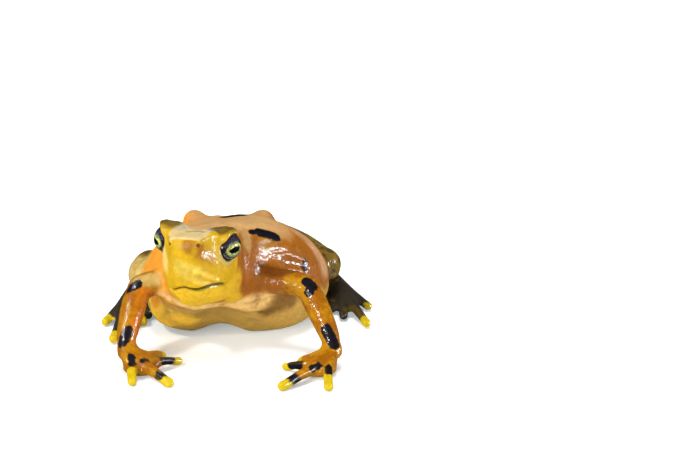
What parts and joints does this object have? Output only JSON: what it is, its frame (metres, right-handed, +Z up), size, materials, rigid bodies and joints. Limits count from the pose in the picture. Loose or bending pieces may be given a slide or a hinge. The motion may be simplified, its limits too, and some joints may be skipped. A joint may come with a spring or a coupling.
{
  "type": "panamanian golden frog",
  "caption": "Life-size still model of a Panamanian golden frog sitting raised on its arms, hind legs folded, head turned.",
  "frame": {"origin": "centre of the bounding box's bottom, on the floor under the belly", "axes": "-Y is where the frog faces, +X its left side, +Z up"},
  "size_m": [0.051, 0.0634, 0.0269],
  "materials": {
    "head_skin": "moist golden yellow skin",
    "body_skin": "moist orange skin with black marks",
    "leg_skin": "moist olive skin with black bands",
    "eyes": "clear wet eye, golden green iris, dark pupil"
  },
  "bodies": {
    "root": {"head": "head_skin", "torso": "body_skin", "upper_arm_L": "body_skin", "upper_arm_R": "body_skin", "forearm_L": "body_skin", "forearm_R": "body_skin", "hand_L": "body_skin", "hand_R": "body_skin", "thigh_L": "leg_skin", "thigh_R": "leg_skin", "shank_L": "leg_skin", "shank_R": "leg_skin", "foot_L": "leg_skin", "foot_R": "leg_skin", "eye_L": "eyes", "eye_R": "eyes"}
  },
  "joints": []
}
